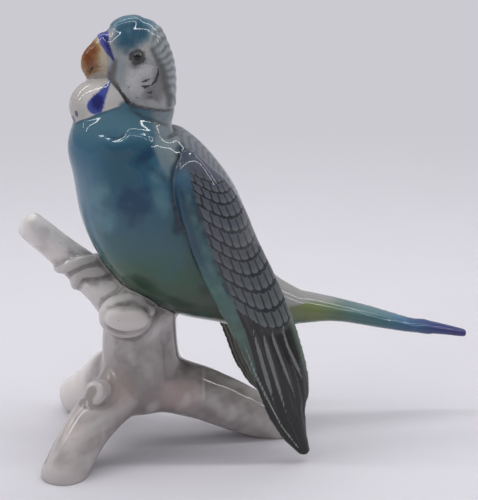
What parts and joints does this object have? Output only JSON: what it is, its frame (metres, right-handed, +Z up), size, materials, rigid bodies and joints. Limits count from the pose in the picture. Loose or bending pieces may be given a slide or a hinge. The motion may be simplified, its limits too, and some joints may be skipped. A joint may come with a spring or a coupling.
{
  "type": "parrot figurine",
  "caption": "Glazed porcelain figurine of a blue budgerigar with drooped wings and a long tail, perched on a white forked branch.",
  "frame": {"origin": "on the table under the middle of the figurine's length and breadth", "axes": "+Z up, -X the way the bird faces, +X towards its tail, -Y towards the viewer, on the bird's left"},
  "size_m": [0.171, 0.08, 0.1653],
  "materials": {
    "glaze": "gloss"
  },
  "bodies": {
    "root": {"parrot_figurine": "glaze"}
  },
  "joints": []
}
